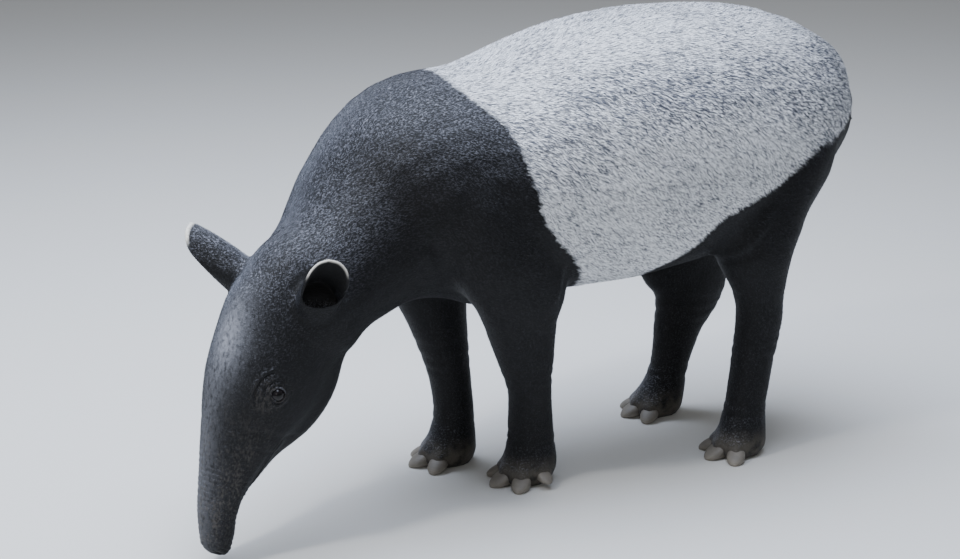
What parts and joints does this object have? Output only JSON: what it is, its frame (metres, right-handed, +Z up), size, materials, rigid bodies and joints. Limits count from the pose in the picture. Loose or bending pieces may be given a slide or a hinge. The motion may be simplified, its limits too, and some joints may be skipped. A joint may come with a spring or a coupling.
{
  "type": "malayan tapir figure",
  "caption": "Malayan tapir, black with a white saddle, standing with its head lowered and its long nose reaching to the ground; a still, life-size figure.",
  "frame": {"origin": "bottom centre of the box round the whole animal, on the floor", "axes": "+Z up, -Y towards the head, +X towards the animal's left side"},
  "size_m": [0.5942, 1.7684, 1.0615],
  "materials": {
    "coat_black": "short dull black hair",
    "coat_white": "short dull white hair",
    "hoof": "satin horn",
    "eye": "wet and glossy"
  },
  "bodies": {
    "root": {"ear_left": "coat_black", "ear_right": "coat_black", "eye_left": "eye", "eye_right": "eye", "forefoot_left": "coat_black", "forefoot_right": "coat_black", "forehoof_left_inner": "hoof", "forehoof_left_middle": "hoof", "forehoof_left_outer": "hoof", "forehoof_left_side": "hoof", "forehoof_right_inner": "hoof", "forehoof_right_middle": "hoof", "forehoof_right_outer": "hoof", "forehoof_right_side": "hoof", "foreleg_left_lower": "coat_black", "foreleg_left_upper": "coat_black", "foreleg_right_lower": "coat_black", "foreleg_right_upper": "coat_black", "head": "coat_black", "hindfoot_left": "coat_black", "hindfoot_right": "coat_black", "hindhoof_left_inner": "hoof", "hindhoof_left_middle": "hoof", "hindhoof_left_outer": "hoof", "hindhoof_right_inner": "hoof", "hindhoof_right_middle": "hoof", "hindhoof_right_outer": "hoof", "hindleg_left_lower": "coat_black", "hindleg_left_upper": "coat_black", "hindleg_right_lower": "coat_black", "hindleg_right_upper": "coat_black", "neck": "coat_black", "shoulders": "coat_black", "snout": "coat_black", "tail": "coat_black", "thigh_left": "coat_black", "thigh_right": "coat_black", "torso": "coat_white"}
  },
  "joints": []
}
